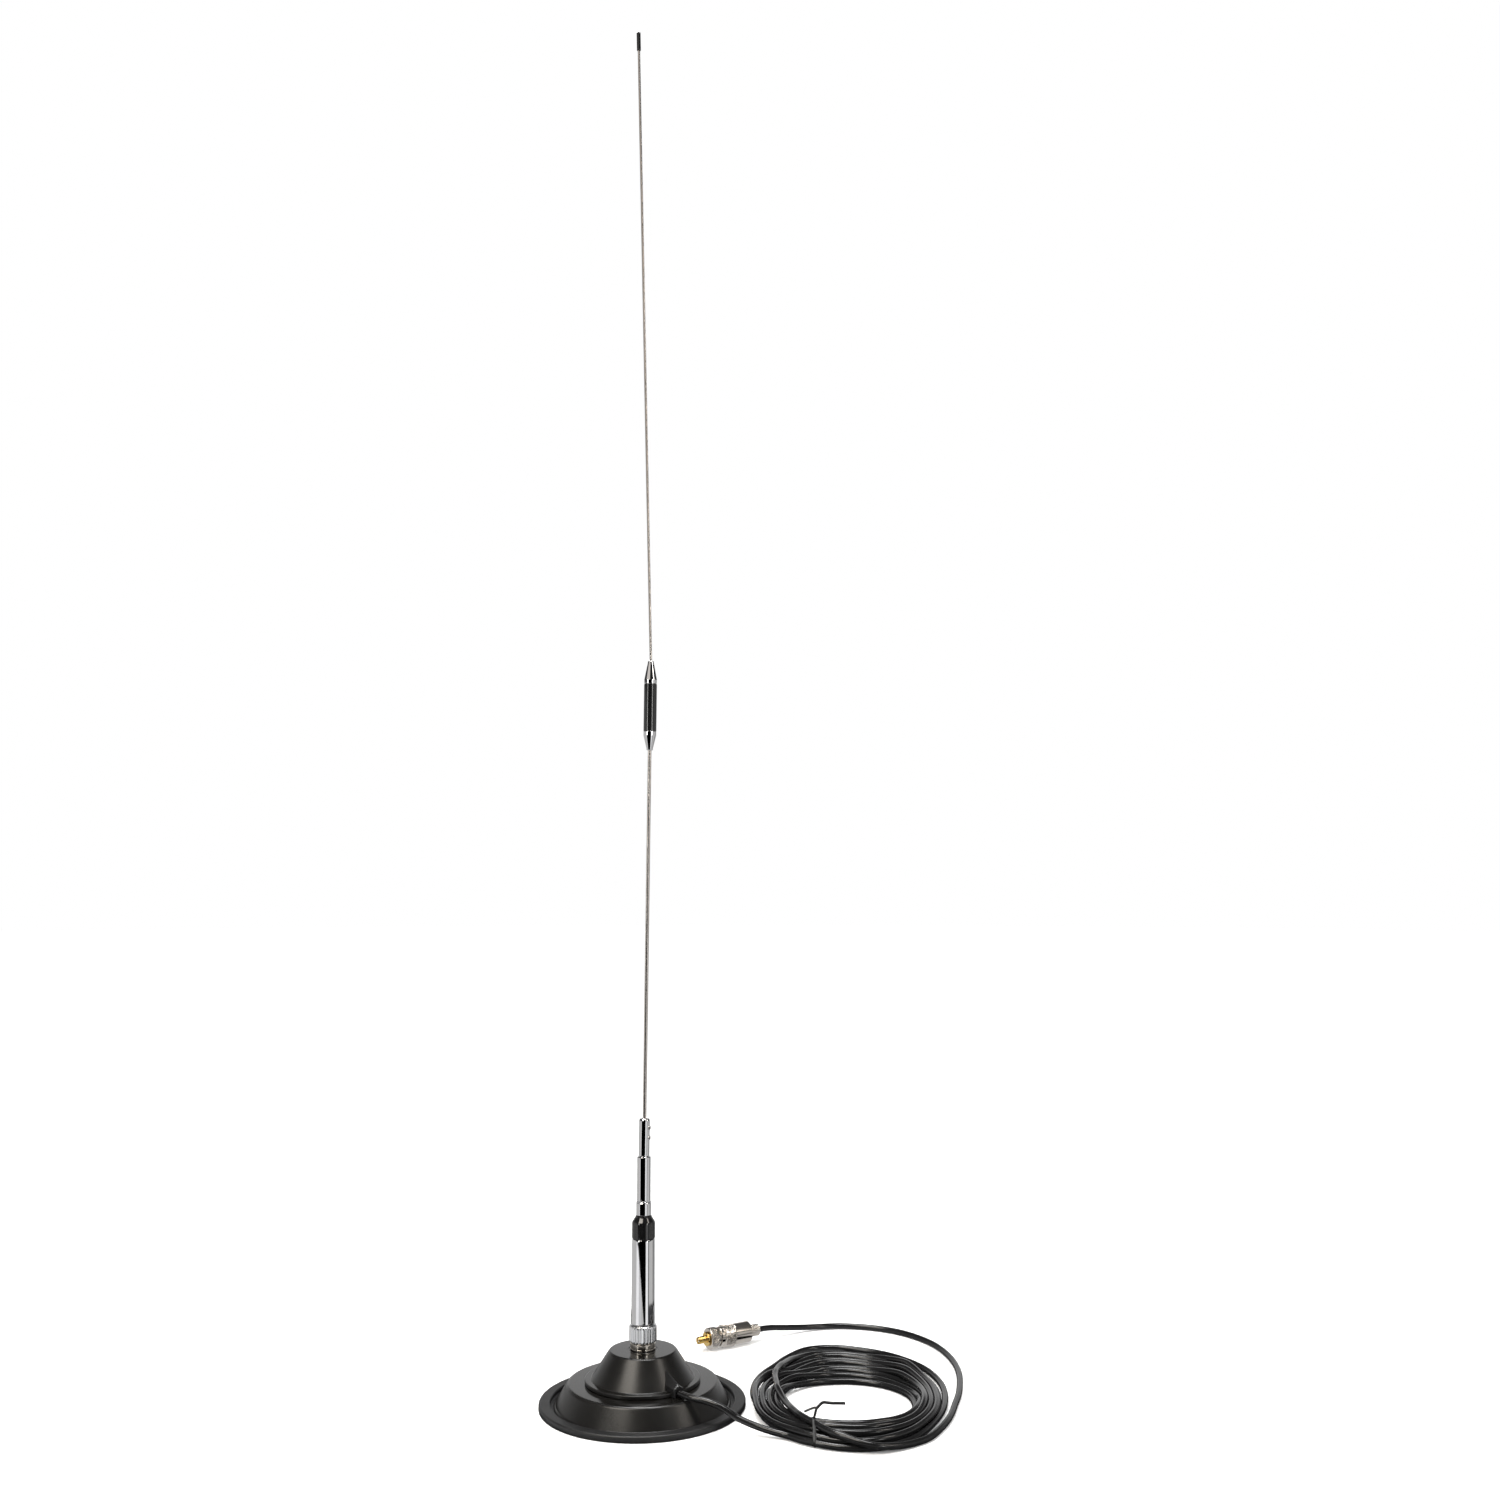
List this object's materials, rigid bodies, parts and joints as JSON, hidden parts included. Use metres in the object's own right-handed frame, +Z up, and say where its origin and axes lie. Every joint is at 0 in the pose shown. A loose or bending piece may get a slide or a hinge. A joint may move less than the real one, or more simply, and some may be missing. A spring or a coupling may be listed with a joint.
{
  "type": "omnidirectional antenna",
  "caption": "Magnetic-base whip antenna with a fold-over chrome mast, a phasing coil in the whip and a coiled coax lead ending in a plug with a screwed-on adapter.",
  "frame": {"origin": "centre of the underside of the magnetic base", "axes": "+Z up along the mast, +Y the way the mast folds, +X towards the coiled lead"},
  "size_m": [0.3354, 0.2969, 1.1094],
  "materials": {
    "black_rubber": "matt",
    "satin_black_housing": "satin",
    "ferrite": "matt",
    "steel": "satin",
    "chrome": "polished",
    "nickel": "nickel plated, polished",
    "gold_plate": "gold plated, polished",
    "copper_wire": "enamelled wire",
    "black_plastic": "gloss",
    "white_insulator": "satin",
    "cable_jacket": "semi-gloss",
    "twist_tie": "satin"
  },
  "bodies": {
    "base": {"base_boot": "black_rubber", "magnet_ring": "ferrite", "pole_plate": "steel", "lower_housing": "satin_black_housing", "upper_housing": "satin_black_housing", "housing_screw_1": "steel", "housing_screw_2": "steel", "housing_screw_3": "steel", "socket_washer": "nickel", "socket_body": "nickel", "socket_insulator": "white_insulator", "socket_contact": "gold_plate", "socket_nut": "steel", "ground_lug": "gold_plate", "cable_gland": "black_rubber", "inner_lead": "cable_jacket", "cable_clamp": "steel", "cable_lead": "cable_jacket", "cable_coil": "cable_jacket", "cable_tail": "cable_jacket", "twist_tie": "twist_tie", "plug_reducer": "nickel", "plug_body": "nickel", "plug_insulator": "white_insulator", "plug_pin": "gold_plate"},
    "plug_sleeve": {"plug_sleeve": "nickel"},
    "adapter": {"adapter_body": "nickel", "adapter_insulator": "white_insulator", "adapter_contact": "gold_plate", "adapter_sma": "gold_plate", "adapter_sma_insulator": "white_insulator", "adapter_sma_contact": "gold_plate"},
    "mast_base": {"mast_plug_body": "nickel", "mast_plug_insulator": "white_insulator", "mast_plug_pin": "gold_plate", "base_tube": "chrome", "matching_former": "white_insulator", "matching_coil": "copper_wire", "insulator_ring": "black_plastic", "hinge_post": "chrome"},
    "coupling_nut": {"coupling_nut": "chrome"},
    "fold_arm": {"fold_sleeve": "chrome", "hinge_pin": "steel", "detent_plunger": "steel", "detent_spring": "steel", "whip_holder": "chrome", "set_screw_upper": "steel", "set_screw_lower": "steel"},
    "whip": {"lower_whip": "steel", "phasing_lower_ferrule": "chrome", "phasing_tube": "black_plastic", "phasing_former": "white_insulator", "phasing_coil": "copper_wire", "phasing_upper_ferrule": "chrome", "upper_whip": "steel", "tip_cap": "black_plastic"}
  },
  "joints": [
    {"name": "mast_lift", "type": "slide", "parent": "base", "child": "mast_base", "axis": [0, 0, 1], "range_m": [0, 0.018]},
    {"name": "coupling_nut_spin", "type": "hinge", "parent": "mast_base", "child": "coupling_nut", "pos_m": [0, 0, 0.0545], "axis": [0, 0, 1], "continuous": true},
    {"name": "mast_fold", "type": "hinge", "parent": "mast_base", "child": "fold_arm", "pos_m": [0, 0, 0.162], "axis": [-1, 0, 0], "range_deg": [0, 90]},
    {"name": "whip_tune", "type": "slide", "parent": "fold_arm", "child": "whip", "axis": [0.0079, 0, 1], "range_m": [-0.01, 0.012]},
    {"name": "plug_sleeve_spin", "type": "hinge", "parent": "base", "child": "plug_sleeve", "pos_m": [0.08975, 0.15984, 0.0097], "axis": [-0.8499, -0.5269, 0], "continuous": true},
    {"name": "adapter_spin", "type": "hinge", "parent": "base", "child": "adapter", "pos_m": [0.08975, 0.15984, 0.0097], "axis": [-0.8499, -0.5269, 0], "continuous": true}
  ]
}
